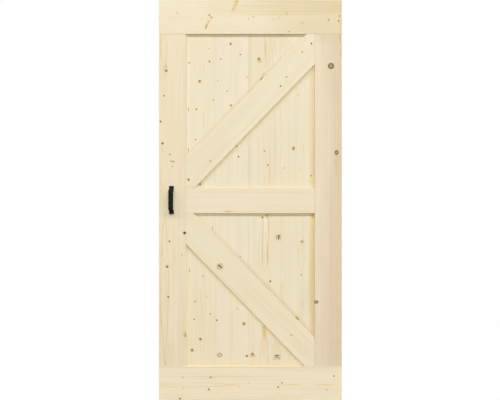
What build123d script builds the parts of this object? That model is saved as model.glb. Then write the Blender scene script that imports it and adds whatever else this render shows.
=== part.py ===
"""Leaf of a sliding barn door in knotty spruce, with a plank panel, K bracing and a black pull.

The leaf hangs from its top edge. X runs across the leaf, Y through its thickness with the front
face towards -Y, and Z up. The origin is the middle of the top edge, where the hangers fasten.
"""

import os

from build123d import *

# Leaf and frame boards
LEAF_WIDTH = 960.0
LEAF_HEIGHT = 2100.0
LEAF_THICKNESS = 35.0
RAIL_HEIGHT = 178.0
STILE_WIDTH = 142.0
MIDDLE_RAIL_HEIGHT = 134.0
MIDDLE_RAIL_LEVEL = 1047.0
BRACE_WIDTH = 141.0
BRACE_ANGLE = 45.8
UPPER_BRACE_DROP = 2.0
LOWER_BRACE_DROP = 8.0
FRAME_EASE = 1.0

# Plank panel and the grooves that hold it
PANEL_THICKNESS = 12.0
PLANK_COVER = 171.0
PLANK_EASE = 0.6
TONGUE_THICKNESS = 4.0
TONGUE_LENGTH = 6.0
FRAME_GROOVE_DEPTH = 15.0

# Groove for the floor guide, in the bottom edge
GUIDE_GROOVE_WIDTH = 8.0
GUIDE_GROOVE_DEPTH = 20.0

# Clearances of the joinery
SIDE_FIT = 0.2
END_FIT = 0.3
SWELL_GAP = 1.0

# Pull handle, a bent half-round bar
HANDLE_LENGTH = 147.0
HANDLE_WIDTH = 25.0
HANDLE_CROWN = 7.0
HANDLE_RIM = 3.5
HANDLE_FINGER_GAP = 30.0
HANDLE_FOOT = 18.0
HANDLE_LEG_RUN = 10.0
HANDLE_BEND = 5.0
HANDLE_LEVEL = 1050.0
HANDLE_EDGE_DISTANCE = 66.0

# Countersunk screws of the handle
SCREW_LENGTH = 30.0
SCREW_SHANK_RADIUS = 2.0
SCREW_HEAD_RADIUS = 4.2
SCREW_HEAD_HEIGHT = 2.6
SCREW_TIP = 5.0
SCREW_SET_BACK = 0.6
SCREW_END_DISTANCE = 7.5
CROSS_SLOT_LENGTH = 4.6
CROSS_SLOT_WIDTH = 1.1
CROSS_SLOT_DEPTH = 1.6
SCREW_FIT = 0.1

# What follows from the driving dimensions
front_y = -LEAF_THICKNESS / 2
panel_front_y = -PANEL_THICKNESS / 2
recess_depth = panel_front_y - front_y
opening_width = LEAF_WIDTH - 2 * STILE_WIDTH
stile_length = LEAF_HEIGHT - 2 * RAIL_HEIGHT
opening_top = -RAIL_HEIGHT
opening_bottom = RAIL_HEIGHT - LEAF_HEIGHT
middle_rail_z = MIDDLE_RAIL_LEVEL - LEAF_HEIGHT
frame_groove_width = PANEL_THICKNESS + 2 * SIDE_FIT
housed_depth = FRAME_GROOVE_DEPTH - SWELL_GAP

front_face = Plane.XZ.offset(-front_y)
panel_face = Plane.XZ.offset(-panel_front_y)

handle_x = HANDLE_EDGE_DISTANCE - LEAF_WIDTH / 2
handle_z = HANDLE_LEVEL - LEAF_HEIGHT
screw_head_y = front_y - HANDLE_CROWN + SCREW_SET_BACK
screw_hole_depth = screw_head_y + SCREW_LENGTH + SWELL_GAP - front_y
screw_heights = {
    "upper": handle_z + HANDLE_LENGTH / 2 - SCREW_END_DISTANCE,
    "lower": handle_z - HANDLE_LENGTH / 2 + SCREW_END_DISTANCE,
}


def ease_faces(builder):
    """Take the sharp arris off the front and back faces of a frame board."""
    faces = builder.faces().filter_by(Axis.Y).sort_by(Axis.Y)
    chamfer(faces[0].edges() + faces[-1].edges(), FRAME_EASE)


def build_rail(outer_z, inner_z, has_guide_groove):
    """Full-width rail with a groove along its inner edge for the stile tenons and planks."""
    with BuildPart() as rail:
        with BuildSketch(Plane.YZ.offset(-LEAF_WIDTH / 2)):
            with Locations((0, (outer_z + inner_z) / 2)):
                Rectangle(LEAF_THICKNESS, RAIL_HEIGHT)
            with Locations((0, inner_z)):
                Rectangle(frame_groove_width, 2 * FRAME_GROOVE_DEPTH, mode=Mode.SUBTRACT)
            if has_guide_groove:
                with Locations((0, outer_z)):
                    Rectangle(GUIDE_GROOVE_WIDTH, 2 * GUIDE_GROOVE_DEPTH, mode=Mode.SUBTRACT)
        extrude(amount=LEAF_WIDTH)
        ease_faces(rail)
    return rail


def build_stile(side, has_handle):
    """Upright between the rails, grooved for the panel, with a stub tenon at each end."""
    inner_x = side * opening_width / 2
    tenon_width = STILE_WIDTH - FRAME_GROOVE_DEPTH
    with BuildPart() as stile:
        with BuildSketch(Plane.XY.offset(opening_bottom)):
            with Locations((side * (LEAF_WIDTH - STILE_WIDTH) / 2, 0)):
                Rectangle(STILE_WIDTH, LEAF_THICKNESS)
            with Locations((inner_x, 0)):
                Rectangle(2 * FRAME_GROOVE_DEPTH, frame_groove_width, mode=Mode.SUBTRACT)
        extrude(amount=stile_length)
        ease_faces(stile)
        with BuildSketch(Plane.XY.offset(opening_bottom - housed_depth)):
            with Locations((side * (LEAF_WIDTH - tenon_width) / 2, 0)):
                Rectangle(tenon_width, PANEL_THICKNESS)
        extrude(amount=stile_length + 2 * housed_depth)
        if has_handle:
            for height in screw_heights.values():
                with Locations(Plane((handle_x, front_y, height), z_dir=(0, -1, 0))):
                    Hole(SCREW_SHANK_RADIUS + SCREW_FIT, depth=screw_hole_depth)
    return stile


# Frame
pieces = {
    "top_rail": build_rail(0, opening_top, has_guide_groove=False),
    "bottom_rail": build_rail(-LEAF_HEIGHT, opening_bottom, has_guide_groove=True),
    "left_stile": build_stile(-1, has_handle=True),
    "right_stile": build_stile(1, has_handle=False),
}


# Tongue and groove planks, from the left stile to the right one
panel_width = opening_width + 2 * housed_depth
plank_count = max(1, round(panel_width / PLANK_COVER))
plank_length = stile_length + 2 * housed_depth

for number in range(1, plank_count + 1):
    left_x = (number - 1) * PLANK_COVER - panel_width / 2
    right_x = panel_width / 2 if number == plank_count else left_x + PLANK_COVER - END_FIT
    with BuildPart() as plank:
        with BuildSketch(Plane.XY.offset(opening_bottom - housed_depth)) as section:
            with Locations(((left_x + right_x) / 2, 0)):
                Rectangle(right_x - left_x, PANEL_THICKNESS)
            corners = section.vertices()
            chamfer(corners, PLANK_EASE)
            if number < plank_count:
                with Locations((right_x, 0)):
                    Rectangle(2 * TONGUE_LENGTH, TONGUE_THICKNESS)
            if number > 1:
                groove_depth = TONGUE_LENGTH - END_FIT + SIDE_FIT
                with Locations((left_x, 0)):
                    Rectangle(
                        2 * groove_depth,
                        TONGUE_THICKNESS + 2 * SIDE_FIT,
                        mode=Mode.SUBTRACT,
                    )
        extrude(amount=plank_length)
    pieces[f"panel_plank_{number}"] = plank


# Middle rail and diagonal braces, laid on the panel and flush with the frame
with BuildPart() as front_middle_rail:
    with BuildSketch(panel_face):
        with Locations((0, middle_rail_z)):
            Rectangle(opening_width - 2 * END_FIT, MIDDLE_RAIL_HEIGHT)
    extrude(amount=recess_depth)
    chamfer(front_middle_rail.faces().sort_by(Axis.Y)[0].edges(), FRAME_EASE)


def build_brace(bay_bottom, bay_top, angle, drop):
    """Diagonal board that passes below the middle of a bay, cut to fit the corners it runs into."""
    bay_height = bay_top - bay_bottom
    bay_middle = (bay_bottom + bay_top) / 2
    with BuildPart() as brace:
        with BuildSketch(panel_face):
            with Locations((0, bay_middle)):
                Rectangle(opening_width - 2 * END_FIT, bay_height - 2 * END_FIT)
            with Locations((0, bay_middle - drop)):
                Rectangle(
                    2 * (opening_width + bay_height),
                    BRACE_WIDTH,
                    rotation=angle,
                    mode=Mode.INTERSECT,
                )
        extrude(amount=recess_depth)
        chamfer(brace.faces().sort_by(Axis.Y)[0].edges(), FRAME_EASE)
    return brace


middle_rail_top = middle_rail_z + MIDDLE_RAIL_HEIGHT / 2
middle_rail_bottom = middle_rail_z - MIDDLE_RAIL_HEIGHT / 2
front_boards = {
    "middle_rail": front_middle_rail,
    "upper_brace": build_brace(middle_rail_top, opening_top, BRACE_ANGLE, UPPER_BRACE_DROP),
    "lower_brace": build_brace(
        opening_bottom, middle_rail_bottom, -BRACE_ANGLE, LOWER_BRACE_DROP
    ),
}

for name, front_board in front_boards.items():
    with BuildPart() as back_board:
        mirror(front_board.part, about=Plane.XZ)
    pieces[f"front_{name}"] = front_board
    pieces[f"back_{name}"] = back_board


# Pull handle on the left stile
def handle_point(out, above):
    """Point of the bar's flat side, from the stile's face and the middle of the handle."""
    return (front_y - out, handle_z + above)


foot_end = HANDLE_LENGTH / 2
foot_start = foot_end - HANDLE_FOOT
grip_end = foot_start - HANDLE_LEG_RUN

with BuildPart() as pull_handle:
    with BuildLine(Plane.YZ.offset(handle_x)) as bar_route:
        FilletPolyline(
            handle_point(0, foot_end),
            handle_point(0, foot_start),
            handle_point(HANDLE_FINGER_GAP, grip_end),
            handle_point(HANDLE_FINGER_GAP, -grip_end),
            handle_point(0, -foot_start),
            handle_point(0, -foot_end),
            radius=[
                HANDLE_BEND + HANDLE_CROWN,
                HANDLE_BEND,
                HANDLE_BEND,
                HANDLE_BEND + HANDLE_CROWN,
            ],
        )
    bar_start = Plane((handle_x, front_y, handle_z + foot_end), x_dir=(1, 0, 0), z_dir=(0, 0, -1))
    with BuildSketch(bar_start):
        with BuildLine():
            half_width = HANDLE_WIDTH / 2
            Polyline(
                (-half_width, HANDLE_RIM),
                (-half_width, 0),
                (half_width, 0),
                (half_width, HANDLE_RIM),
            )
            ThreePointArc((half_width, HANDLE_RIM), (0, HANDLE_CROWN), (-half_width, HANDLE_RIM))
        make_face()
    sweep(path=bar_route.wires()[0])
    for height in screw_heights.values():
        with Locations(Plane((handle_x, screw_head_y, height), z_dir=(0, -1, 0))):
            CounterSinkHole(
                SCREW_SHANK_RADIUS + SCREW_FIT,
                SCREW_HEAD_RADIUS + SCREW_FIT,
                depth=HANDLE_CROWN,
            )

pieces["pull_handle"] = pull_handle

for name, height in screw_heights.items():
    head = (handle_x, screw_head_y, height)
    with BuildPart() as handle_screw:
        with BuildSketch(Plane(head, x_dir=(1, 0, 0), z_dir=(0, 0, 1))):
            with BuildLine():
                Polyline(
                    (0, 0),
                    (SCREW_HEAD_RADIUS, 0),
                    (SCREW_SHANK_RADIUS, SCREW_HEAD_HEIGHT),
                    (SCREW_SHANK_RADIUS, SCREW_LENGTH - SCREW_TIP),
                    (0, SCREW_LENGTH),
                    close=True,
                )
            make_face()
        revolve(axis=Axis(head, (0, 1, 0)))
        with BuildSketch(Plane(head, z_dir=(0, -1, 0))):
            Rectangle(CROSS_SLOT_LENGTH, CROSS_SLOT_WIDTH)
            Rectangle(CROSS_SLOT_WIDTH, CROSS_SLOT_LENGTH)
        extrude(amount=-CROSS_SLOT_DEPTH, mode=Mode.SUBTRACT)
    pieces[f"{name}_handle_screw"] = handle_screw


# One file for each piece
os.makedirs("parts", exist_ok=True)
for name, piece in pieces.items():
    piece.part.label = name
    export_step(piece.part, f"parts/{name}.step")
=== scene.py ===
"""Looks of the sliding door leaf: planed knotty spruce boards and a black pull, in studio light."""

import math
from typing import NamedTuple

import bpy
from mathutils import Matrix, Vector


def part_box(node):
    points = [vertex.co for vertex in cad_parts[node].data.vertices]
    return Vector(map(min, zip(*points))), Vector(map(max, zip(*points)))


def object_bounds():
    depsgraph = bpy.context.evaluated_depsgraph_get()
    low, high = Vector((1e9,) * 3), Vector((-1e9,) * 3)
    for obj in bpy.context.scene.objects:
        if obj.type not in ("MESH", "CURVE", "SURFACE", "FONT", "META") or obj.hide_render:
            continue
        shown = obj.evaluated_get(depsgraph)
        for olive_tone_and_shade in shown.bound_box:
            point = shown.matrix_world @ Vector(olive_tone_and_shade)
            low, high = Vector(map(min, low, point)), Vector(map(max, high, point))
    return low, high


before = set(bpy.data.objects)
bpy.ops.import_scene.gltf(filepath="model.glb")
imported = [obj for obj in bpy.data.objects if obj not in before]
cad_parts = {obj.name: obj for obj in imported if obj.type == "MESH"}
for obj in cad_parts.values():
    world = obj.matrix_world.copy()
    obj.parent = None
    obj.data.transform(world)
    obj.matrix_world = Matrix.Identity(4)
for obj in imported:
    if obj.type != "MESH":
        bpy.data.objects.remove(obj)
cad_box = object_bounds()
FRONT_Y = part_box("left_stile")[0].y

# The picture that the leaf is seen in, and what a pixel spans on the leaf's front
PICTURE_WIDTH = 500
PICTURE_HEIGHT = 400
PIXEL = 0.00525
LEAF_MIDDLE_PIXEL = 250.35
CAMERA_DISTANCE = 3.4
SENSOR_WIDTH = 36.0

MILLIMETRE = 0.001
NOISE_ROUGHNESS = 0.55

# Sockets of a Mix node that mixes colours
MIX_SHARE = 0
MIX_FIRST = 6
MIX_SECOND = 7
MIX_RESULT = 2


def srgb(red, green, blue):
    """Colour as it looks on a screen, from 0 to 255, turned into a shader's linear colour."""

    def linear(level):
        share = level / 255
        return share / 12.92 if share <= 0.04045 else ((share + 0.055) / 1.055) ** 2.4

    return (linear(red), linear(green), linear(blue), 1.0)


def on_leaf(x, y):
    """Place on the leaf, in metres, of a pixel of the picture. The leaf's top edge is row 0."""
    return ((x - LEAF_MIDDLE_PIXEL) * PIXEL, 0.0, -y * PIXEL)


# Shader nodes as expressions


class Term:
    """One output of a node. Sums and products of terms add the Math nodes that they need."""

    def __init__(self, owner, socket):
        self.owner = owner
        self.socket = socket

    def math(self, operation, *values):
        return self.owner.node("ShaderNodeMath", {"operation": operation}, dict(enumerate(values)))

    def __add__(self, other):
        return self.math("ADD", self, other)

    def __radd__(self, other):
        return self.math("ADD", other, self)

    def __sub__(self, other):
        return self.math("SUBTRACT", self, other)

    def __rsub__(self, other):
        return self.math("SUBTRACT", other, self)

    def __mul__(self, other):
        return self.math("MULTIPLY", self, other)

    def __rmul__(self, other):
        return self.math("MULTIPLY", other, self)

    def __truediv__(self, other):
        return self.math("DIVIDE", self, other)

    def __rtruediv__(self, other):
        return self.math("DIVIDE", other, self)


def at_least(least, share):
    """A share from 0 to 1, raised so that it never falls below the least."""
    return least + (1.0 - least) * share


class Pattern(NamedTuple):
    """A kind of noise: the sizes of its patches along three axes, its own seed, and the span of
    noise over which a patch comes up."""

    sizes: tuple
    seed: float
    span: tuple = (0.0, 1.0)
    detail: float = 2.0


class Nodes:
    """The nodes of a material or of the world, added one at a time."""

    def __init__(self, tree):
        self.nodes = tree.nodes
        self.links = tree.links

    def fill(self, node, sockets):
        for name, value in sockets.items():
            if isinstance(value, Term):
                self.links.new(value.socket, node.inputs[name])
            else:
                node.inputs[name].default_value = value

    def node(self, kind, settings, sockets, output=0):
        made = self.nodes.new(kind)
        for name, value in settings.items():
            setattr(made, name, value)
        self.fill(made, sockets)
        return Term(self, made.outputs[output])

    def mix(self, first, second, share):
        return self.node(
            "ShaderNodeMix",
            {"data_type": "RGBA"},
            {MIX_SHARE: share, MIX_FIRST: first, MIX_SECOND: second},
            MIX_RESULT,
        )

    def seen(self):
        """1 for the camera, reflections and transmission, and 0 where light only falls on things."""
        rays = ("Is Camera Ray", "Is Glossy Ray", "Is Transmission Ray")
        camera, glossy, through = (self.node("ShaderNodeLightPath", {}, {}, ray) for ray in rays)
        return camera.math("MAXIMUM", camera, glossy.math("MAXIMUM", glossy, through))


class Finish(Nodes):
    """A material's nodes, which end in one Principled shader."""

    def __init__(self, name):
        self.material = bpy.data.materials.new(name)
        self.material.use_nodes = True
        super().__init__(self.material.node_tree)
        self.shader = self.nodes["Principled BSDF"]

    def place(self):
        return self.node("ShaderNodeTexCoord", {}, {}, "Object")

    def mapped(self, vector, location, turn, scale):
        """The vector seen from a frame at location, turned about Y by turn degrees and scaled."""
        return self.node(
            "ShaderNodeMapping",
            {"vector_type": "TEXTURE"},
            {
                "Vector": vector,
                "Location": location,
                "Rotation": (0.0, math.radians(turn), 0.0),
                "Scale": scale,
            },
        )

    def vector_math(self, operation, *values, output=0):
        return self.node("ShaderNodeVectorMath", {"operation": operation}, dict(enumerate(values)), output)

    def length(self, vector):
        return self.vector_math("LENGTH", vector, output="Value")

    def part(self, vector, axis):
        return self.node("ShaderNodeSeparateXYZ", {}, {0: vector}, axis)

    def noise(self, vector, pattern, seed=0.0, output=0):
        """Noise of this pattern, from 0 to 1. Another seed gives another piece of it."""
        return self.node(
            "ShaderNodeTexNoise",
            {"noise_dimensions": "4D"},
            {
                "Vector": self.vector_math("DIVIDE", vector, pattern.sizes),
                "W": seed + pattern.seed,
                "Scale": 1.0,
                "Detail": pattern.detail,
                "Roughness": NOISE_ROUGHNESS,
            },
            output,
        )

    def rise(self, value, span):
        """Smooth step from 0 at the span's start to 1 at its end."""
        start, end = span
        return self.node(
            "ShaderNodeMapRange",
            {"interpolation_type": "SMOOTHSTEP"},
            {"Value": value, "From Min": start, "From Max": end},
        )

    def fall(self, value, span):
        """Smooth step from 1 at the span's start to 0 at its end."""
        return 1.0 - self.rise(value, span)

    def between(self, value, start, end):
        """1 between two spans: it comes up over the first and goes down over the second."""
        return self.rise(value, start) * self.fall(value, end)

    def patches(self, vector, pattern, seed):
        """Patches of this pattern, with 1 inside them and 0 between them."""
        return self.rise(self.noise(vector, pattern, seed), pattern.span)

    def bump(self, height, strength, depth):
        return self.node("ShaderNodeBump", {}, {"Strength": strength, "Distance": depth, "Height": height})

    def shade(self, **sockets):
        """Sets sockets of the shader. Their names have _ for a space."""
        self.fill(self.shader, {name.replace("_", " "): value for name, value in sockets.items()})


# What shows in the timber: knots, streaks, veins and swellings of the growth rings, and painted shade and
# painted light along edges


class Mark(NamedTuple):
    """A feature of a board: its middle and its sizes across and along the grain, in pixels, and its
    tilt from the grain in degrees. Its weight is its strength, or a swelling's height in
    millimetres."""

    kind: str
    x: float
    y: float
    across: float
    along: float = 0.0
    tilt: float = 0.0
    weight: float = 1.0


class KnotLook(NamedTuple):
    """Colours of a kind of knot, and how strongly its heart, rim and halo show."""

    heart: tuple
    rim: tuple
    heart_weight: float
    rim_weight: float
    halo_weight: float
    broken: bool = False


UPRIGHT = 0.0
LEVEL = 90.0
BRACE_LEAN = 44.2

KNOT_LOOKS = {
    "spike": KnotLook(srgb(222, 190, 124), srgb(212, 180, 112), 0.6, 0.2, 0.3),
    "faint": KnotLook(srgb(206, 186, 140), srgb(198, 174, 128), 0.55, 0.2, 0.3),
    "speck": KnotLook(srgb(166, 146, 100), srgb(150, 130, 86), 0.8, 0.4, 0.45),
    "pin": KnotLook(srgb(118, 100, 62), srgb(104, 86, 52), 0.85, 0.5, 0.6),
    "eye": KnotLook(srgb(58, 40, 24), srgb(60, 42, 26), 0.95, 0.6, 0.6),
    "sound": KnotLook(srgb(144, 118, 68), srgb(134, 108, 60), 0.85, 0.5, 0.5),
    "ringed": KnotLook(srgb(172, 148, 114), srgb(82, 60, 36), 0.85, 0.95, 0.4),
    "loop": KnotLook(srgb(222, 198, 150), srgb(160, 132, 84), 0.5, 0.8, 0.3),
    "broken": KnotLook(srgb(222, 200, 164), srgb(150, 122, 78), 0.4, 0.55, 0.2, broken=True),
    "crack": KnotLook(srgb(70, 50, 28), srgb(84, 62, 36), 0.9, 0.4, 0.2),
}
# Knots that the growth rings bend round
DEEP_KNOTS = ("pin", "eye", "sound", "ringed", "loop", "broken")
# Colours of streaks and bands; several of them are also painted shade and painted light where the rails,
# stiles and braces meet the panel
STREAK_AND_PAINTED_LIGHT_COLOURS = {
    "amber": srgb(226, 191, 122),
    "straw": srgb(214, 190, 142),
    "rose": srgb(214, 190, 160),
    # Olive tint of the wood, also painted shade under the rails and beside the right stile
    "olive_tone_and_shade": srgb(204, 182, 120),
    # Darker greyish tint of the wood, also painted shade along and beside the braces, on the lit strips
    # above the rails and along the leaf's bottom edge
    "dark_tone_and_shade": srgb(186, 172, 140),
    # Gold tint of the wood, also painted shadow beside the right stile and painted yellow light above the
    # bottom rail
    "gold": srgb(234, 208, 144),
    # Painted light, which lightens the shadow under the braces and along the panel's lower left edge
    "cream_painted_light": srgb(255, 238, 186),
    # Pale tint of the wood, also painted light along the panel's upper left edge
    "pale": srgb(252, 244, 222),
}
VEIN_COLOUR = srgb(224, 188, 118)

UPPER_LAMELLA_MARKS = [
    # Knots
    Mark("spike", 235.4, 5.0, 13.0, 3.0, tilt=26),
    Mark("faint", 237.4, 0.8, 6.0, 2.2, tilt=26),
    Mark("faint", 235.8, 0.0, 3.4, 4.0, tilt=26),
    Mark("faint", 177.2, 12.8, 1.8),
    Mark("speck", 209.4, 15.3, 1.9),
    Mark("faint", 286.7, 13.5, 2.4),
    Mark("pin", 339.5, 16.1, 1.5),
    # Streaks and bands
    Mark("straw", 250.0, 1.2, 1.4, 190.0, weight=0.25),
    Mark("straw", 300.0, 0.8, 4.4, 160.0, weight=0.35),
    Mark("gold", 296.0, 11.4, 2.2, 170.0, weight=0.5),
    Mark("gold", 290.0, 14.4, 4.4, 120.0, weight=0.3),
    Mark("gold", 300.0, 3.4, 2.4, 130.0, weight=0.25),
    Mark("straw", 318.0, 8.0, 26.0, 200.0, weight=0.44),
    Mark("straw", 262.0, 6.0, 5.0, 70.0, weight=0.2),
    Mark("straw", 228.0, 8.0, 22.0, 90.0, weight=0.12),
    Mark("gold", 226.0, 10.8, 4.0, 70.0, weight=0.15),
    Mark("dark_tone_and_shade", 325.0, 8.0, 20.0, 60.0, weight=0.08),
    Mark("amber", 336.0, 7.0, 20.0, 20.0, weight=0.2),
    Mark("olive_tone_and_shade", 341.0, 7.0, 24.0, 5.0, weight=0.35),
]
TOP_RAIL_MARKS = [
    # Knots
    Mark("speck", 211.4, 17.3, 1.9),
    Mark("spike", 208.0, 22.6, 7.0, 1.8, tilt=36),
    Mark("sound", 206.3, 26.8, 4.8, 1.0, tilt=29),
    Mark("speck", 253.3, 17.0, 1.3),
    Mark("faint", 248.7, 18.9, 1.7),
    Mark("faint", 279.0, 17.8, 1.6),
    Mark("faint", 273.5, 19.1, 1.6),
    Mark("faint", 302.4, 23.0, 2.5),
    Mark("speck", 289.0, 31.5, 1.5),
    Mark("speck", 328.6, 19.8, 1.8),
    Mark("speck", 338.6, 21.0, 1.9),
    # Streaks and bands
    Mark("straw", 178.0, 16.7, 0.8, 50.0, weight=0.5),
    Mark("straw", 330.0, 26.0, 50.0, 170.0, weight=0.36),
    Mark("olive_tone_and_shade", 341.0, 24.0, 26.0, 6.0, weight=0.25),
]
LEFT_STILE_MARKS = [
    # Knots
    Mark("faint", 166.0, 66.3, 2.4),
    Mark("sound", 166.2, 70.7, 2.4),
    Mark("pin", 163.9, 95.7, 1.5),
    Mark("eye", 160.5, 121.5, 1.6),
    Mark("eye", 162.5, 143.4, 1.9),
    Mark("pin", 169.8, 154.5, 1.3),
    Mark("speck", 171.3, 161.1, 1.6),
    Mark("pin", 173.5, 161.6, 1.5),
    Mark("faint", 172.5, 166.3, 2.0),
    Mark("eye", 184.6, 232.9, 2.6),
    Mark("pin", 169.4, 241.4, 1.6),
    Mark("faint", 181.9, 255.0, 1.6),
    Mark("pin", 167.1, 266.7, 2.2),
    Mark("eye", 168.2, 297.0, 1.6),
    Mark("faint", 184.9, 334.2, 3.2, 5.2),
    Mark("speck", 185.3, 335.6, 1.4, 2.8),
    # Streaks and bands
    Mark("rose", 180.6, 330.0, 11.0, 200.0, weight=0.14),
    Mark("amber", 160.6, 47.0, 2.4, 30.0, weight=0.5),
    Mark("amber", 165.4, 68.0, 4.0, 26.0, weight=0.3),
    Mark("amber", 162.0, 149.5, 2.4, 9.0, weight=0.3),
    Mark("amber", 161.0, 182.0, 2.4, 50.0, weight=0.3),
    Mark("amber", 160.2, 318.0, 1.8, 90.0, weight=0.4),
    Mark("amber", 165.6, 363.6, 2.4, 7.0, weight=0.5),
    Mark("amber", 163.0, 228.0, 3.0, 8.0, weight=0.25),
    Mark("amber", 162.5, 253.0, 2.6, 9.0, weight=0.4),
    Mark("amber", 163.6, 261.0, 3.0, 6.0, weight=0.25),
    Mark("amber", 174.0, 258.0, 3.0, 10.0, weight=0.25),
    Mark("amber", 170.8, 265.5, 4.4, 1.6, weight=0.25),
    Mark("amber", 168.2, 234.0, 1.2, 24.0, weight=0.2),
    Mark("straw", 164.0, 80.0, 14.0, 100.0, weight=0.12),
    Mark("dark_tone_and_shade", 165.0, 296.0, 12.0, 90.0, weight=0.1),
    Mark("dark_tone_and_shade", 166.0, 352.0, 24.0, 60.0, weight=0.16),
    Mark("gold", 163.5, 198.0, 9.0, 44.0, weight=0.22),
    Mark("dark_tone_and_shade", 184.2, 315.0, 1.8, 120.0, weight=0.14),
    Mark("dark_tone_and_shade", 173.0, 34.3, 60.0, 2.0, weight=0.25),
    Mark("amber", 160.8, 38.0, 3.0, 14.0, weight=0.45),
    Mark("amber", 162.2, 326.0, 1.6, 34.0, tilt=-4, weight=0.45),
    Mark("olive_tone_and_shade", 165.6, 363.2, 2.6, 6.0, weight=0.4),
    # Veins and swellings
    Mark("vein", 164.6, 288.0, 9.0, 156.0, weight=0.5),
    Mark("vein", 164.4, 52.0, 6.6, 36.0, weight=0.35),
    Mark("swell", 164.6, 306.0, 14.0, 180.0, weight=6.0),
]
RIGHT_STILE_MARKS = [
    # Knots
    Mark("ringed", 331.0, 66.0, 5.4),
    Mark("ringed", 336.6, 152.5, 3.8, 4.1),
    Mark("ringed", 316.0, 302.0, 4.4, 2.8),
    # Streaks and bands
    Mark("amber", 336.3, 170.0, 1.8, 20.0, weight=0.7),
    Mark("amber", 335.0, 163.0, 2.0, 16.0, tilt=-9, weight=0.5),
    Mark("rose", 336.6, 160.0, 5.0, 16.0, weight=0.5),
    Mark("rose", 341.0, 220.0, 44.0, 640.0, weight=0.4),
    Mark("rose", 330.0, 400.0, 70.0, 420.0, weight=0.28),
    Mark("rose", 338.8, 130.0, 1.6, 260.0, weight=0.4),
    Mark("straw", 335.0, 120.0, 1.4, 260.0, weight=0.25),
    Mark("rose", 326.5, 150.0, 2.2, 300.0, weight=0.25),
    Mark("rose", 321.0, 270.0, 1.8, 280.0, weight=0.25),
    Mark("rose", 331.0, 240.0, 5.0, 320.0, weight=0.25),
    Mark("amber", 337.6, 230.0, 2.4, 340.0, weight=0.3),
    Mark("amber", 340.6, 200.0, 2.2, 500.0, weight=0.35),
    Mark("amber", 340.8, 47.0, 2.4, 22.0, weight=0.5),
    Mark("amber", 340.8, 84.0, 2.0, 60.0, weight=0.4),
    Mark("straw", 337.2, 100.0, 2.0, 60.0, weight=0.3),
    Mark("dark_tone_and_shade", 332.0, 68.0, 26.0, 96.0, weight=0.14),
    Mark("dark_tone_and_shade", 322.6, 80.0, 2.6, 100.0, weight=0.12),
    Mark("amber", 334.0, 262.0, 7.0, 170.0, weight=0.16),
    Mark("pale", 319.5, 292.0, 12.0, 80.0, weight=0.14),
    Mark("pale", 329.5, 150.0, 12.0, 80.0, weight=0.12),
    Mark("dark_tone_and_shade", 333.0, 352.0, 18.0, 50.0, weight=0.08),
    Mark("dark_tone_and_shade", 327.0, 35.0, 34.0, 28.0, weight=0.2),
    Mark("dark_tone_and_shade", 323.0, 44.0, 4.4, 44.0, weight=0.12),
    Mark("amber", 335.8, 40.0, 4.0, 26.0, weight=0.26),
    Mark("olive_tone_and_shade", 339.8, 38.0, 3.0, 20.0, weight=0.65),
    Mark("olive_tone_and_shade", 340.6, 54.0, 3.0, 15.0, weight=0.45),
    Mark("amber", 337.6, 48.0, 2.4, 22.0, weight=0.3),
    Mark("amber", 339.4, 66.0, 2.4, 10.0, weight=0.3),
    Mark("dark_tone_and_shade", 328.0, 34.3, 60.0, 2.0, weight=0.25),
]
MIDDLE_RAIL_MARKS = [
    # Knots
    Mark("faint", 228.4, 211.4, 1.8, 7.0),
    # Streaks and bands
    Mark("straw", 245.0, 192.4, 2.4, 150.0, weight=0.12),
    Mark("straw", 250.0, 211.6, 2.6, 150.0, weight=0.15),
    Mark("straw", 292.0, 192.8, 4.0, 60.0, weight=0.12),
    Mark("gold", 270.0, 210.6, 4.0, 110.0, weight=0.14),
    Mark("gold", 308.0, 211.5, 5.0, 44.0, weight=0.3),
    Mark("pale", 208.0, 201.0, 14.0, 60.0, weight=0.1),
]
UPPER_BRACE_MARKS = [
    # Knots
    Mark("eye", 311.4, 43.5, 1.5),
    Mark("pin", 302.4, 51.9, 1.3),
    Mark("pin", 286.5, 76.8, 1.2),
    Mark("eye", 280.5, 86.1, 1.4),
    Mark("speck", 210.6, 160.9, 1.4),
    Mark("pin", 188.6, 179.7, 2.1),
    # Streaks and bands
    Mark("straw", 215.0, 156.0, 8.0, 70.0, weight=0.15),
    Mark("straw", 252.0, 121.0, 4.0, 60.0, weight=0.12),
    # Painted shade along the brace's upper edge
    Mark("dark_tone_and_shade", 245.5, 96.9, 2.4, 320.0, weight=0.08),
]
LOWER_BRACE_MARKS = [
    # Knots
    Mark("broken", 220.2, 266.6, 6.4, 5.6),
    Mark("crack", 219.9, 266.3, 1.6, 5.4, tilt=-10),
    Mark("speck", 291.3, 334.9, 1.5),
    Mark("speck", 297.3, 318.3, 2.6),
    # Streaks and bands
    Mark("straw", 236.0, 292.0, 1.2, 70.0, weight=0.3),
    Mark("straw", 290.0, 332.0, 3.0, 50.0, weight=0.15),
    Mark("pale", 206.0, 244.0, 24.0, 110.0, weight=0.14),
    Mark("straw", 304.0, 351.0, 18.0, 44.0, weight=0.16),
]
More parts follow.
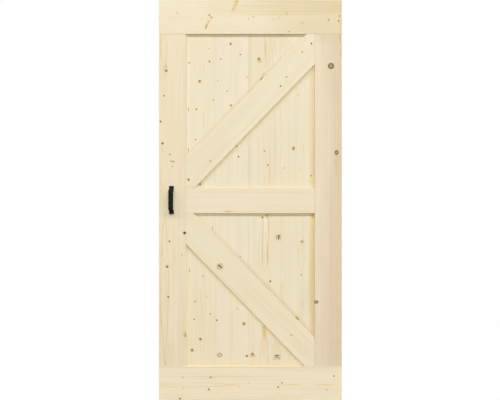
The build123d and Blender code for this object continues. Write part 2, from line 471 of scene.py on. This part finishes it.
PANEL_MARKS = [
    # Knots
    Mark("pin", 230.6, 43.9, 2.0),
    Mark("faint", 208.7, 48.7, 1.6),
    Mark("pin", 240.3, 54.5, 1.3),
    Mark("pin", 220.9, 59.2, 1.2),
    Mark("eye", 209.4, 61.5, 1.4),
    Mark("speck", 189.2, 62.8, 1.5),
    Mark("sound", 258.9, 58.9, 2.5),
    Mark("faint", 259.4, 61.0, 4.0, 2.8),
    Mark("sound", 261.4, 78.6, 1.2, 4.2, tilt=36),
    Mark("faint", 263.4, 74.8, 2.2, 4.6, tilt=30),
    Mark("sound", 199.7, 81.3, 2.4),
    Mark("faint", 217.9, 80.6, 1.5),
    Mark("faint", 247.0, 77.1, 1.6),
    Mark("pin", 227.3, 91.1, 1.1),
    Mark("speck", 213.4, 99.9, 1.4),
    Mark("pin", 230.9, 105.4, 1.8),
    Mark("eye", 196.4, 109.3, 1.3),
    Mark("pin", 195.7, 139.6, 1.3),
    Mark("speck", 188.6, 109.3, 0.8, 4.0),
    Mark("speck", 188.5, 150.0, 0.8, 4.0),
    Mark("sound", 200.1, 184.3, 2.4),
    Mark("faint", 298.0, 95.1, 1.4),
    Mark("pin", 236.7, 146.4, 1.3),
    Mark("eye", 238.4, 156.7, 1.4),
    Mark("speck", 264.5, 150.9, 1.7),
    Mark("speck", 267.9, 165.1, 1.7),
    Mark("sound", 293.5, 148.4, 2.4, 3.0),
    Mark("faint", 283.9, 168.0, 1.6),
    Mark("pin", 311.1, 175.7, 1.4),
    Mark("eye", 262.4, 217.5, 1.5),
    Mark("speck", 297.2, 318.2, 2.0, 5.0, tilt=-BRACE_LEAN),
    Mark("broken", 278.6, 237.4, 5.6, 5.2),
    Mark("crack", 278.7, 237.0, 1.5, 4.6, tilt=4),
    Mark("speck", 301.9, 241.6, 2.5),
    Mark("speck", 240.3, 256.8, 1.3),
    Mark("speck", 301.4, 274.9, 1.4),
    Mark("eye", 270.2, 281.3, 1.6),
    Mark("speck", 212.5, 228.5, 0.8, 4.0),
    Mark("speck", 189.3, 270.6, 0.8, 4.0),
    Mark("faint", 203.1, 276.3, 2.0),
    Mark("faint", 206.8, 296.8, 1.7),
    Mark("pin", 195.0, 301.5, 1.2),
    Mark("pin", 210.3, 313.9, 1.2),
    Mark("faint", 237.5, 308.9, 1.5),
    Mark("pin", 194.1, 319.3, 1.3),
    Mark("eye", 216.8, 320.2, 1.4),
    Mark("sound", 243.9, 323.7, 2.6),
    Mark("sound", 200.4, 339.2, 2.5),
    Mark("sound", 192.1, 350.2, 2.7),
    Mark("loop", 219.6, 355.0, 4.2, 3.8),
    Mark("pin", 246.8, 355.9, 2.0),
    Mark("sound", 252.5, 354.2, 2.6),
    Mark("faint", 253.0, 355.8, 4.6, 2.4),
    Mark("broken", 277.0, 357.3, 6.4, 5.2),
    Mark("crack", 276.8, 355.6, 4.4, 1.1),
    Mark("crack", 277.1, 357.2, 1.5, 1.5),
    # Streaks and bands
    Mark("amber", 265.6, 48.0, 2.4, 28.0, weight=0.7),
    Mark("amber", 272.2, 52.0, 1.3, 44.0, weight=0.4),
    Mark("amber", 265.2, 66.0, 2.8, 4.0, weight=0.4),
    Mark("gold", 200.8, 47.0, 1.2, 24.0, weight=0.3),
    Mark("gold", 206.8, 48.0, 1.2, 30.0, weight=0.3),
    Mark("gold", 200.6, 68.0, 1.5, 15.0, tilt=8, weight=0.55),
    Mark("gold", 204.4, 68.0, 1.5, 15.0, tilt=-8, weight=0.55),
    Mark("gold", 203.5, 118.0, 2.2, 30.0, weight=0.52),
    Mark("amber", 270.2, 150.0, 1.8, 90.0, weight=0.3),
    Mark("amber", 269.4, 176.0, 1.8, 26.0, weight=0.5),
    Mark("straw", 258.6, 158.0, 2.6, 80.0, weight=0.22),
    Mark("amber", 263.3, 150.0, 1.0, 90.0, weight=0.2),
    Mark("amber", 264.8, 180.5, 1.2, 16.0, weight=0.4),
    Mark("amber", 273.4, 178.0, 1.0, 18.0, weight=0.35),
    Mark("straw", 275.0, 145.0, 4.0, 100.0, weight=0.2),
    Mark("amber", 275.8, 148.0, 1.2, 90.0, weight=0.3),
    Mark("gold", 201.0, 299.0, 1.8, 18.0, weight=0.55),
    Mark("gold", 201.6, 322.0, 2.4, 34.0, weight=0.3),
    Mark("gold", 232.6, 330.0, 2.4, 60.0, weight=0.33),
    Mark("amber", 264.3, 331.0, 6.0, 26.0, weight=0.8),
    Mark("olive_tone_and_shade", 263.4, 326.0, 5.0, 9.0, weight=0.7),
    Mark("gold", 263.9, 351.5, 2.4, 20.0, weight=0.8),
    Mark("amber", 262.4, 252.0, 1.8, 46.0, weight=0.8),
    Mark("amber", 267.7, 254.0, 2.4, 38.0, weight=0.9),
    Mark("amber", 268.8, 228.0, 1.8, 40.0, weight=0.7),
    Mark("amber", 263.0, 230.0, 1.4, 44.0, weight=0.6),
    Mark("amber", 265.6, 235.5, 2.0, 14.0, weight=0.7),
    Mark("amber", 264.6, 270.5, 2.2, 5.0, weight=0.5),
    Mark("amber", 258.4, 258.0, 1.0, 44.0, weight=0.35),
    Mark("amber", 302.5, 304.0, 2.4, 16.0, weight=0.45),
    # Painted shadow of the right stile on the panel beside it, yellowed and deeper low down
    Mark("olive_tone_and_shade", 314.2, 200.0, 13.0, 760.0, weight=0.24),
    Mark("gold", 314.2, 200.0, 13.0, 760.0, weight=0.36),
    Mark("olive_tone_and_shade", 313.0, 290.0, 13.0, 170.0, weight=0.34),
    Mark("straw", 262.0, 60.0, 34.0, 120.0, weight=0.12),
    Mark("gold", 200.0, 330.0, 44.0, 170.0, weight=0.14),
    Mark("gold", 232.0, 340.0, 40.0, 140.0, weight=0.12),
    # Painted light on the panel's lower left edge, beside the left stile
    Mark("cream_painted_light", 188.0, 312.0, 7.0, 150.0, weight=0.25),
    Mark("pale", 265.4, 228.0, 3.6, 44.0, weight=0.4),
    Mark("pale", 264.2, 352.0, 4.6, 28.0, weight=0.12),
    # Painted light along the panel's upper left edge, and a darker line at its seam with the left stile
    Mark("pale", 187.8, 105.0, 7.0, 260.0, weight=0.6),
    Mark("dark_tone_and_shade", 186.0, 111.0, 1.5, 190.0, weight=0.5),
    Mark("amber", 301.3, 136.5, 3.0, 7.0, weight=0.2),
    Mark("amber", 303.3, 148.0, 1.8, 18.0, weight=0.35),
    Mark("amber", 300.5, 162.0, 5.0, 2.6, weight=0.15),
    Mark("amber", 301.0, 169.6, 4.8, 4.4, weight=0.25),
    Mark("amber", 264.8, 256.0, 4.0, 24.0, weight=0.2),
    Mark("gold", 275.5, 240.0, 12.0, 70.0, weight=0.16),
    Mark("dark_tone_and_shade", 284.0, 42.0, 30.0, 34.0, weight=0.11),
    Mark("straw", 272.0, 352.0, 80.0, 44.0, weight=0.09),
    Mark("straw", 303.0, 306.0, 18.0, 60.0, weight=0.14),
    Mark("straw", 276.0, 345.0, 16.0, 30.0, weight=0.13),
    Mark("straw", 290.0, 355.0, 24.0, 28.0, weight=0.15),
    Mark("straw", 275.0, 45.0, 4.0, 24.0, weight=0.3),
    # Painted shade deepened in two places under the middle rail, one of them at the right stile
    Mark("olive_tone_and_shade", 266.9, 214.8, 5.6, 10.0, weight=0.9),
    Mark("olive_tone_and_shade", 312.8, 214.6, 6.4, 12.0, weight=0.85),
    # Veins and swellings
    Mark("vein", 267.6, 38.0, 7.6, 60.0, weight=0.5),
    Mark("vein", 264.3, 366.0, 9.0, 84.0, weight=0.45),
    Mark("vein", 202.0, 332.0, 5.4, 56.0, weight=0.45),
    Mark("vein", 300.0, 243.0, 9.4, 22.0, weight=0.3),
    Mark("vein", 301.2, 257.0, 7.4, 32.0, weight=0.35),
    Mark("swell", 202.0, 332.0, 12.0, 110.0, weight=6.0),
]
# Along the panel's edges and joints, so that every plank has its part of them: bands on the middle joint,
# then painted shade and painted light where the rails and braces meet the panel
PANEL_CORNERS = [
    # Streaks and bands on the middle joint
    Mark("straw", 250.2, 60.0, 5.6, 130.0, weight=0.26),
    Mark("straw", 250.4, 165.0, 5.6, 90.0, weight=0.2),
    Mark("straw", 249.2, 250.0, 3.0, 80.0, weight=0.1),
    # Painted shade under the top rail, on the lit strip above the middle rail and under the middle rail
    Mark("olive_tone_and_shade", 250.0, 34.0, 7.0, 420.0, tilt=LEVEL, weight=0.27),
    Mark("dark_tone_and_shade", 250.0, 187.8, 4.0, 420.0, tilt=LEVEL, weight=0.24),
    Mark("olive_tone_and_shade", 250.0, 213.1, 8.0, 420.0, tilt=LEVEL, weight=0.2),
    Mark("olive_tone_and_shade", 284.0, 215.8, 3.4, 90.0, tilt=LEVEL, weight=0.3),
    # Painted yellow light and painted shade on the lit strip above the bottom rail
    Mark("gold", 250.0, 366.6, 12.0, 420.0, tilt=LEVEL, weight=0.36),
    Mark("dark_tone_and_shade", 250.0, 365.7, 4.4, 420.0, tilt=LEVEL, weight=0.2),
    # Painted shade beside the braces' upper edges, and painted light that lightens the shadow under their
    # lower edges
    Mark("dark_tone_and_shade", 242.8, 99.2, 9.0, 320.0, tilt=BRACE_LEAN, weight=0.26),
    Mark("dark_tone_and_shade", 242.6, 99.0, 3.6, 320.0, tilt=BRACE_LEAN, weight=0.12),
    Mark("cream_painted_light", 262.6, 119.3, 5.6, 320.0, tilt=BRACE_LEAN, weight=0.6),
    Mark("dark_tone_and_shade", 269.3, 291.0, 11.0, 320.0, tilt=-BRACE_LEAN, weight=0.27),
    Mark("olive_tone_and_shade", 269.3, 291.0, 11.0, 320.0, tilt=-BRACE_LEAN, weight=0.1),
    Mark("dark_tone_and_shade", 269.7, 290.6, 3.6, 320.0, tilt=-BRACE_LEAN, weight=0.2),
    Mark("cream_painted_light", 249.8, 310.8, 5.6, 320.0, tilt=-BRACE_LEAN, weight=0.6),
]
BOTTOM_RAIL_MARKS = [
    # Knots
    Mark("pin", 210.7, 377.4, 1.6),
    Mark("pin", 208.8, 389.4, 1.8),
    Mark("pin", 180.1, 398.7, 1.7),
    Mark("faint", 182.5, 377.5, 2.0),
    Mark("faint", 183.2, 388.3, 1.6),
    Mark("faint", 239.3, 386.6, 1.3),
    Mark("faint", 248.8, 383.0, 1.2),
    Mark("pin", 278.2, 387.1, 1.5),
    Mark("pin", 281.9, 383.0, 1.3),
    Mark("speck", 333.9, 376.1, 1.7),
    Mark("faint", 326.5, 389.7, 1.8),
    # Streaks and bands
    Mark("straw", 250.0, 367.3, 2.0, 420.0, weight=0.28),
    Mark("straw", 220.0, 376.4, 1.4, 190.0, weight=0.4),
    Mark("gold", 164.0, 384.2, 1.8, 60.0, weight=0.7),
    Mark("gold", 228.0, 384.6, 2.0, 34.0, tilt=-4, weight=0.5),
    Mark("gold", 290.0, 384.6, 1.8, 30.0, weight=0.9),
    Mark("gold", 324.0, 384.8, 2.0, 30.0, weight=0.9),
    Mark("straw", 250.0, 397.6, 4.0, 200.0, weight=0.15),
    Mark("dark_tone_and_shade", 295.0, 369.6, 5.0, 130.0, weight=0.11),
    Mark("dark_tone_and_shade", 322.0, 392.0, 16.0, 60.0, weight=0.06),
    Mark("pale", 180.0, 380.0, 16.0, 70.0, weight=0.14),
    # Painted shade along the leaf's bottom edge
    Mark("dark_tone_and_shade", 230.0, 400.0, 2.0, 180.0, weight=0.5),
    Mark("dark_tone_and_shade", 250.0, 400.2, 2.4, 520.0, weight=0.35),
    # Veins and swellings
    Mark("vein", 186.0, 384.6, 5.4, 108.0, weight=0.5),
    Mark("swell", 196.0, 385.6, 10.0, 130.0, weight=8.0),
]


class Board(NamedTuple):
    """Timber of one board. Its grain leans by turn degrees from upright, and its pith lies at
    heart, across and behind the board's middle. Lengths are in millimetres."""

    turn: float
    heart: tuple
    ring: float
    tone: tuple
    marks: list
    seed: float
    honey: float = 0.16


# Patterns of the timber, in millimetres across, through and along the grain
SWAY = Pattern((70.0, 70.0, 380.0), seed=0.0)
WAVER = Pattern((14.0, 14.0, 130.0), seed=7.0)
RING_PATCHES = Pattern((60.0, 60.0, 300.0), seed=6.0, span=(0.3, 0.7))
HONEY_PATCHES = Pattern((36.0, 36.0, 520.0), seed=1.0, span=(0.4, 0.75))
BANDS = Pattern((10.0, 10.0, 900.0), seed=4.0, span=(0.45, 0.8))
FIBRES = Pattern((2.0, 2.0, 140.0), seed=2.0, span=(0.5, 0.8), detail=3.0)

# Patterns that break up the marks or make them ragged, in metres
KNOT_BREAKS = Pattern((0.011,) * 3, seed=3.0, span=(0.42, 0.56))
VEIN_BREAKS = Pattern((0.04,) * 3, seed=9.0, span=(0.35, 0.6))
KNOT_SHAKE = Pattern((0.004,) * 3, seed=5.0)
KNOT_SHAKE_REACH = 0.0011
STREAK_SHAKE = Pattern((0.03,) * 3, seed=8.0)
STREAK_SHAKE_REACH = 0.0022

# Growth rings, with late wood in shares of a year, lengths in millimetres and eddies round knots
LATE_WOOD = srgb(208, 174, 116)
LATE_SHARE = 0.3
LATE_START = (0.2, 0.88)
LATE_END = (0.9, 1.0)
WEAKEST_YEAR = 0.3
WEAKEST_RINGS = 0.4
RING_TAPER = 0.006
SWAY_REACH = 14.0
WAVER_REACH = 2.0
EDDY_STRETCH = 2.6
EDDY_END = (0.4, 3.4)
EDDY_RINGS = 2.5

# Marks go right through their boards
MARK_DEPTH = 10.0

# Streaks, painted shade and painted light come up from their edges, at 0, towards their middles, at 1
STREAK_FADE = (0.0, 0.75)

# Veins and knots, with spans by the distance from their middles, where 1 is their edge
ARCH_START = (0.66, 0.92)
ARCH_END = (0.94, 1.08)
WEAKEST_VEIN = 0.4
KNOT_HALO = srgb(232, 204, 138)
KNOT_HALO_END = (0.8, 2.4)
KNOT_HEART_END = (0.7, 1.15)
KNOT_RIM_START = (0.5, 0.85)
KNOT_RIM_END = (0.95, 1.25)
KNOT_RINGS = 7.0
KNOT_RING_BASE = 0.7
KNOT_RING_DEPTH = 0.6

# Planed and sawn faces
HONEY = srgb(230, 206, 154)
FIBRE_SHADE = srgb(208, 182, 136)
BAND_SHARE = 0.14
FIBRE_SHARE = 0.14
END_GRAIN = srgb(204, 172, 118)
END_GRAIN_FACING = (0.5, 0.8)
END_GRAIN_SHARE = 0.3
END_GRAIN_RINGS = 0.35
WOOD_ROUGHNESS = 0.68
LATE_WOOD_GLOSS = 0.12
SAWN_ROUGHNESS = 0.12
WOOD_SPECULAR = 0.25
WOOD_RELIEF = 0.35
WOOD_RELIEF_DEPTH = 0.0003

# Where the top rail's two lamellae are glued, and how wide half of the joint looks
GLUE_ROW = 16.5
GLUE_LEVEL = on_leaf(LEAF_MIDDLE_PIXEL, GLUE_ROW)[2]
GLUE_LINE = 0.0004

# Powder coat
COAT_BLACK = srgb(6, 7, 8)
COAT_GREY = srgb(13, 15, 16)
COAT_GRAINS = Pattern((0.0009,) * 3, seed=11.0, detail=3.0)
COAT_CLOUDS = Pattern((0.03,) * 3, seed=12.0)
COAT_ROUGHNESS = 0.58
COAT_GRAIN_ROUGHNESS = 0.12
COAT_SPECULAR = 0.15
COAT_RELIEF = 0.4
COAT_RELIEF_DEPTH = 0.00025


def marks_of(board, *kinds):
    return [mark for mark in board.marks if mark.kind in kinds]


def mark_frame(finish, place, board, mark, stretch=1.0):
    """The place seen from a mark's middle, in half sizes of the mark."""
    across = mark.across * PIXEL / 2
    along = (mark.along or mark.across) * PIXEL / 2 * stretch
    return finish.mapped(
        place,
        on_leaf(mark.x, mark.y),
        board.turn + mark.tilt,
        (across, MARK_DEPTH, along),
    )


def nearest(finish, place, board, marks, stretch=1.0):
    """Distance to the nearest of the marks, where 1 is its edge."""
    distance = None
    for mark in marks:
        reach = finish.length(mark_frame(finish, place, board, mark, stretch))
        distance = reach if distance is None else distance.math("MINIMUM", distance, reach)
    return distance


def fading(finish, place, board, mark):
    """Falls from 1 in a mark's middle to 0 at its edge."""
    return finish.node(
        "ShaderNodeTexGradient",
        {"gradient_type": "SPHERICAL"},
        {"Vector": mark_frame(finish, place, board, mark)},
    )


def growth_rings(finish, place, timber, board):
    """Share of late wood, from the distance to the pith, swellings and the eddies round knots."""
    across, behind = board.heart
    from_pith = finish.vector_math("MULTIPLY_ADD", timber, (1.0, 1.0, 0.0), (-across, -behind, 0.0))
    radius = finish.length(from_pith) + finish.part(timber, "Z") * RING_TAPER
    radius = radius + finish.noise(timber, SWAY, board.seed) * SWAY_REACH
    radius = radius + finish.noise(timber, WAVER, board.seed) * WAVER_REACH
    for mark in marks_of(board, "swell"):
        lift = fading(finish, place, board, mark)
        radius = radius - lift * lift * mark.weight
    knots = marks_of(board, *DEEP_KNOTS)
    if knots:
        distance = nearest(finish, place, board, knots, EDDY_STRETCH)
        radius = radius - finish.fall(distance, EDDY_END) * (EDDY_RINGS * board.ring)
    phase = radius / board.ring
    number = phase.math("FLOOR", phase)
    year = finish.node("ShaderNodeTexWhiteNoise", {"noise_dimensions": "1D"}, {"W": number + board.seed})
    late = finish.between(phase - number, LATE_START, LATE_END)
    return late * at_least(WEAKEST_YEAR, year)


def arch(finish, place, board, mark):
    """Two lines that meet in a point at each end of a mark, as where one ring comes to the face."""
    view = mark_frame(finish, place, board, mark)
    across = finish.part(view, "X")
    along = finish.part(view, "Z")
    distance = across.math("ABSOLUTE", across) + along * along
    return finish.between(distance, ARCH_START, ARCH_END)


def streaked_with_painted_light(finish, colour, place, board):
    """The colour with this board's streaks, veins, painted shade and painted light laid over it."""
    for mark in marks_of(board, *STREAK_AND_PAINTED_LIGHT_COLOURS):
        strength = finish.rise(fading(finish, place, board, mark), STREAK_FADE) * mark.weight
        colour = finish.mix(colour, STREAK_AND_PAINTED_LIGHT_COLOURS[mark.kind], strength)
    for mark in marks_of(board, "vein"):
        broken = at_least(WEAKEST_VEIN, finish.patches(place, VEIN_BREAKS, board.seed))
        line = arch(finish, place, board, mark) * broken * mark.weight
        colour = finish.mix(colour, VEIN_COLOUR, line)
    return colour


def knotted(finish, colour, place, board, kind):
    """The colour with this board's knots of one kind laid over it."""
    marks = marks_of(board, kind)
    if not marks:
        return colour
    look = KNOT_LOOKS[kind]
    distance = nearest(finish, place, board, marks)
    halo = finish.fall(distance, KNOT_HALO_END)
    rings = KNOT_RING_BASE + KNOT_RING_DEPTH * distance.math("PINGPONG", distance * KNOT_RINGS, 1.0)
    heart = finish.fall(distance, KNOT_HEART_END) * rings
    rim = finish.between(distance, KNOT_RIM_START, KNOT_RIM_END)
    if look.broken:
        rim = rim * finish.patches(place, KNOT_BREAKS, board.seed)
    colour = finish.mix(colour, KNOT_HALO, halo * look.halo_weight)
    colour = finish.mix(colour, look.heart, heart * look.heart_weight)
    return finish.mix(colour, look.rim, rim * look.rim_weight)


def shaken(finish, place, pattern, reach, seed):
    """The place moved about by up to reach, so that what is drawn there has ragged edges."""
    shake = finish.noise(place, pattern, seed, "Color")
    moved = finish.vector_math("MULTIPLY_ADD", shake, (2.0 * reach,) * 3, place)
    return finish.vector_math("SUBTRACT", moved, (reach,) * 3)


def timber_colour(finish, place, middle, board):
    """Colour, late wood and fibres of one board, as solid patterns."""
    timber = finish.mapped(place, middle, board.turn, (MILLIMETRE,) * 3)
    late = growth_rings(finish, place, timber, board)
    fibres = finish.noise(timber, FIBRES, board.seed)
    honey = finish.patches(timber, HONEY_PATCHES, board.seed)
    bands = finish.patches(timber, BANDS, board.seed)
    rings = late * at_least(WEAKEST_RINGS, finish.patches(timber, RING_PATCHES, board.seed))

    colour = finish.mix(board.tone, HONEY, honey * board.honey)
    colour = finish.mix(colour, FIBRE_SHADE, bands * BAND_SHARE)
    colour = finish.mix(colour, LATE_WOOD, rings * LATE_SHARE)
    colour = finish.mix(colour, FIBRE_SHADE, finish.rise(fibres, FIBRES.span) * FIBRE_SHARE)
    wavy = shaken(finish, place, STREAK_SHAKE, STREAK_SHAKE_REACH, board.seed)
    colour = streaked_with_painted_light(finish, colour, wavy, board)
    ragged = shaken(finish, place, KNOT_SHAKE, KNOT_SHAKE_REACH, board.seed)
    for kind in KNOT_LOOKS:
        colour = knotted(finish, colour, ragged, board, kind)
    return colour, late, fibres


def end_grain(finish, board):
    """1 on the sawn ends of a board, and 0 along its grain."""
    lean = math.radians(board.turn)
    grain = (math.sin(lean), 0.0, math.cos(lean))
    facing = finish.node("ShaderNodeTexCoord", {}, {}, "Normal")
    along = finish.vector_math("DOT_PRODUCT", facing, grain, output="Value")
    return finish.rise(along * along, END_GRAIN_FACING)


def spruce(name, middle, board, upper_lamella=None):
    """Planed, unfinished knotty spruce. A glued board has another timber above its glue line."""
    finish = Finish(name)
    place = finish.place()
    colour, late, fibres = timber_colour(finish, place, middle, board)
    if upper_lamella:
        above = finish.rise(finish.part(place, "Z"), (GLUE_LEVEL - GLUE_LINE, GLUE_LEVEL + GLUE_LINE))
        upper_colour, upper_late, upper_fibres = timber_colour(finish, place, middle, upper_lamella)
        colour = finish.mix(colour, upper_colour, above)
        late = late + (upper_late - late) * above
        fibres = fibres + (upper_fibres - fibres) * above
    sawn = end_grain(finish, board)
    colour = finish.mix(colour, END_GRAIN, sawn * (END_GRAIN_SHARE + END_GRAIN_RINGS * late))
    finish.shade(
        Base_Color=colour,
        Roughness=WOOD_ROUGHNESS - LATE_WOOD_GLOSS * late + SAWN_ROUGHNESS * sawn,
        Normal=finish.bump(late * 0.5 + fibres * 0.5, WOOD_RELIEF, WOOD_RELIEF_DEPTH),
        Specular_IOR_Level=WOOD_SPECULAR,
    )
    return finish.material


def black_powder_coat():
    """Matt black powder coat with the fine orange peel of its grains."""
    finish = Finish("black_powder_coat")
    place = finish.place()
    grains = finish.noise(place, COAT_GRAINS)
    clouds = finish.noise(place, COAT_CLOUDS)
    finish.shade(
        Base_Color=finish.mix(COAT_BLACK, COAT_GREY, clouds),
        Roughness=COAT_ROUGHNESS + COAT_GRAIN_ROUGHNESS * grains,
        Normal=finish.bump(grains, COAT_RELIEF, COAT_RELIEF_DEPTH),
        Specular_IOR_Level=COAT_SPECULAR,
    )
    return finish.material


# Boards

BOARDS = {
    "top_rail": Board(LEVEL, (-90.0, 40.0), 2.8, srgb(243, 232, 203), TOP_RAIL_MARKS, 1.0),
    "bottom_rail": Board(LEVEL, (70.0, 44.0), 2.8, srgb(243, 231, 202), BOTTOM_RAIL_MARKS, 2.0),
    "left_stile": Board(UPRIGHT, (-60.0, 40.0), 2.8, srgb(243, 229, 199), LEFT_STILE_MARKS, 3.0),
    "right_stile": Board(UPRIGHT, (150.0, 30.0), 2.6, srgb(241, 226, 199), RIGHT_STILE_MARKS, 4.0),
    "panel_plank_1": Board(UPRIGHT, (-70.0, 36.0), 2.8, srgb(243, 232, 204), PANEL_MARKS, 5.0),
    "panel_plank_2": Board(UPRIGHT, (120.0, 40.0), 2.6, srgb(243, 232, 207), PANEL_MARKS, 6.0),
    "panel_plank_3": Board(UPRIGHT, (80.0, 34.0), 2.8, srgb(242, 231, 203), PANEL_MARKS, 7.0),
    "panel_plank_4": Board(UPRIGHT, (-90.0, 40.0), 2.8, srgb(242, 231, 203), PANEL_MARKS, 8.0),
    "front_middle_rail": Board(LEVEL, (110.0, 44.0), 2.6, srgb(244, 231, 203), MIDDLE_RAIL_MARKS, 9.0),
    "front_upper_brace": Board(
        BRACE_LEAN, (110.0, 40.0), 2.6, srgb(243, 232, 204), UPPER_BRACE_MARKS, 10.0
    ),
    "front_lower_brace": Board(
        -BRACE_LEAN, (80.0, 44.0), 2.8, srgb(242, 230, 200), LOWER_BRACE_MARKS, 11.0
    ),
    "back_middle_rail": Board(LEVEL, (-80.0, -44.0), 2.6, srgb(242, 229, 200), MIDDLE_RAIL_MARKS, 12.0),
    "back_upper_brace": Board(
        BRACE_LEAN, (-90.0, -40.0), 2.6, srgb(242, 230, 202), UPPER_BRACE_MARKS, 13.0
    ),
    "back_lower_brace": Board(
        -BRACE_LEAN, (60.0, -50.0), 2.8, srgb(242, 230, 201), LOWER_BRACE_MARKS, 14.0
    ),
}
UPPER_LAMELLA = Board(LEVEL, (60.0, 50.0), 2.8, srgb(245, 233, 203), UPPER_LAMELLA_MARKS, 15.0, honey=0.3)


def within(board, low, high):
    """The board with only the marks whose middles lie on its width."""
    kept = [mark for mark in board.marks if low.x <= on_leaf(mark.x, mark.y)[0] <= high.x]
    return board._replace(marks=kept)


def set_back(board, depth):
    """The board with its marks spread out from the picture's middle, so that on a face this far
    behind the leaf's front they still show at their pixels."""
    spread = 1 + depth / CAMERA_DISTANCE
    middle_x = PICTURE_WIDTH / 2
    middle_y = PICTURE_HEIGHT / 2
    spread_out = [
        mark._replace(
            x=middle_x + (mark.x - middle_x) * spread,
            y=middle_y + (mark.y - middle_y) * spread,
        )
        for mark in board.marks
    ]
    return board._replace(marks=spread_out)


def end_for_end(board, middle):
    """The board with its marks turned about its middle, as on a twin laid the other way round."""
    middle_x = middle.x / PIXEL + LEAF_MIDDLE_PIXEL
    middle_y = -middle.z / PIXEL
    turned = [mark._replace(x=2 * middle_x - mark.x, y=2 * middle_y - mark.y) for mark in board.marks]
    return board._replace(marks=turned)


def dress(node, material):
    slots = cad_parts[node].data.materials
    slots.clear()
    slots.append(material)


for node, board in BOARDS.items():
    low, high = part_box(node)
    middle = (low + high) / 2
    if node == "top_rail":
        dress(node, spruce("spruce_top_rail", middle, board, UPPER_LAMELLA))
        continue
    if node.startswith("back_"):
        board = end_for_end(board, middle)
    board = within(board, low, high)
    if node.startswith("panel_plank_"):
        board = set_back(board._replace(marks=board.marks + PANEL_CORNERS), low.y - FRONT_Y)
    dress(node, spruce(f"spruce_{node}", middle, board))

coat = black_powder_coat()
for node in ("pull_handle", "upper_handle_screw", "lower_handle_screw"):
    dress(node, coat)


# Studio

FLOOR_Z = cad_box[0].z
MIDDLE_Z = (cad_box[0].z + cad_box[1].z) / 2
FLOOR_SIZE = 3.0
FLOOR_GLOW = 0.96
FLOOR_ROUGHNESS = 0.9
FLOOR_WHITE = (0.95, 0.95, 0.95, 1.0)
FLOOR_BOUNCE = (0.45, 0.44, 0.43, 1.0)
WHITE = (1.0, 1.0, 1.0, 1.0)
DAYLIGHT = (0.97, 1.0, 1.1)
ROOM_LIGHT = (1.0, 0.97, 0.87)
EVEN_LIGHT = (1.0, 1.0, 1.0)
AMBIENT = 0.23


def lamp(name, direction, distance, width, height, level, colour):
    """Soft lamp aimed at the leaf. If it were small, a white face on its side would look this
    bright, where 1 is white."""
    towards = Vector(direction).normalized()
    data = bpy.data.lights.new(name, "AREA")
    data.shape = "RECTANGLE"
    data.size = width
    data.size_y = height
    data.color = colour
    data.energy = level * math.pi**2 * distance**2 / abs(towards.y)
    lit = bpy.data.objects.new(name, data)
    bpy.context.scene.collection.objects.link(lit)
    lit.location = Vector((0.0, FRONT_Y, MIDDLE_Z)) + towards * distance
    lit.rotation_euler = towards.to_track_quat("Z", "Y").to_euler()


def white_surroundings(ambient):
    """World that looks white and lights the leaf softly from all round."""
    world = bpy.data.worlds.new("white_surroundings")
    bpy.context.scene.world = world
    world.use_nodes = True
    sky = Nodes(world.node_tree)
    seen = sky.seen()
    strength = seen + (1.0 - seen) * ambient
    colour = sky.mix((*ROOM_LIGHT, 1.0), WHITE, seen)
    sky.fill(sky.nodes["Background"], {"Color": colour, "Strength": strength})


def pale_floor():
    """Floor under the leaf, which looks almost white, keeps the leaf's faint shadow and throws
    little light back up."""
    bpy.ops.object.select_all(action="DESELECT")
    bpy.ops.mesh.primitive_plane_add(size=FLOOR_SIZE, location=(0.0, 0.0, FLOOR_Z))
    floor = bpy.context.active_object
    floor.name = "studio_floor"
    finish = Finish("pale_floor")
    finish.shade(Base_Color=FLOOR_BOUNCE, Roughness=FLOOR_ROUGHNESS, Specular_IOR_Level=0.0)
    dull = Term(finish, finish.shader.outputs[0])
    lit = finish.node("ShaderNodeBsdfDiffuse", {}, {"Color": FLOOR_WHITE})
    glow = finish.node("ShaderNodeEmission", {}, {"Color": WHITE, "Strength": 1.0})
    pale = finish.node("ShaderNodeMixShader", {}, {0: FLOOR_GLOW, 1: lit, 2: glow})
    surface = finish.node("ShaderNodeMixShader", {}, {0: finish.seen(), 1: dull, 2: pale})
    finish.fill(finish.nodes["Material Output"], {"Surface": surface})
    floor.data.materials.append(finish.material)


def camera():
    """Camera level with the leaf's middle, looking straight at its front."""
    data = bpy.data.cameras.new("picture_camera")
    data.sensor_width = SENSOR_WIDTH
    data.lens = SENSOR_WIDTH * CAMERA_DISTANCE / (PICTURE_WIDTH * PIXEL)
    eye = bpy.data.objects.new("picture_camera", data)
    bpy.context.scene.collection.objects.link(eye)
    offset = (PICTURE_WIDTH / 2 - LEAF_MIDDLE_PIXEL) * PIXEL
    eye.location = (offset, FRONT_Y - CAMERA_DISTANCE, MIDDLE_Z)
    eye.rotation_euler = (math.radians(90.0), 0.0, 0.0)
    bpy.context.scene.camera = eye


lamp(
    "key_lamp",
    direction=(-0.05, -0.56, 0.80),
    distance=12.0,
    width=29.0,
    height=1.3,
    level=0.70,
    colour=DAYLIGHT,
)
lamp(
    "front_lamp",
    direction=(0.1, -0.97, 0.2),
    distance=7.0,
    width=3.0,
    height=3.0,
    level=0.32,
    colour=ROOM_LIGHT,
)
lamp(
    "back_lamp",
    direction=(0.1, 0.97, 0.22),
    distance=9.0,
    width=16.0,
    height=3.0,
    level=1.0,
    colour=EVEN_LIGHT,
)
white_surroundings(AMBIENT)
pale_floor()
camera()
bpy.context.scene.view_settings.view_transform = "Standard"
